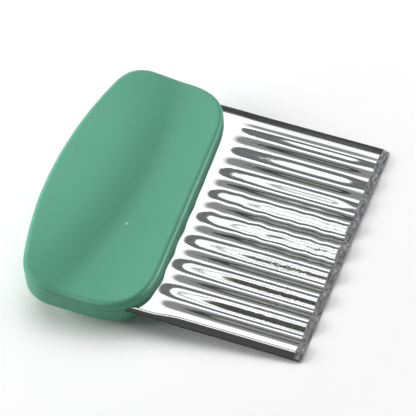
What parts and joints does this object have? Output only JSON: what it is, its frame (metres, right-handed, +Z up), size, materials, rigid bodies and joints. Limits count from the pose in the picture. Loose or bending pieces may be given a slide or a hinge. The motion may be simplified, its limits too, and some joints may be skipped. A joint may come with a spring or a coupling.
{
  "type": "crinkle cutter",
  "caption": "Hand-held crinkle cutter: a corrugated stainless steel blade with a ground edge, clamped between two hollow green plastic handle halves.",
  "frame": {"origin": "on the table, under the middle of the tool's bounding box, as the tool lies tipped on to its cutting edge", "axes": "+X from the handle to the cutting edge, +Y along the handle, +Z up from the table"},
  "size_m": [0.0886, 0.0816, 0.0169],
  "materials": {
    "blade_steel": "bright rolled stainless steel sheet, with a ground bevel along the cutting edge",
    "handle_plastic": "moulded polypropylene, jade green, satin"
  },
  "bodies": {
    "root": {"blade": "blade_steel", "handle_lower_shell": "handle_plastic", "handle_upper_shell": "handle_plastic"}
  },
  "joints": []
}
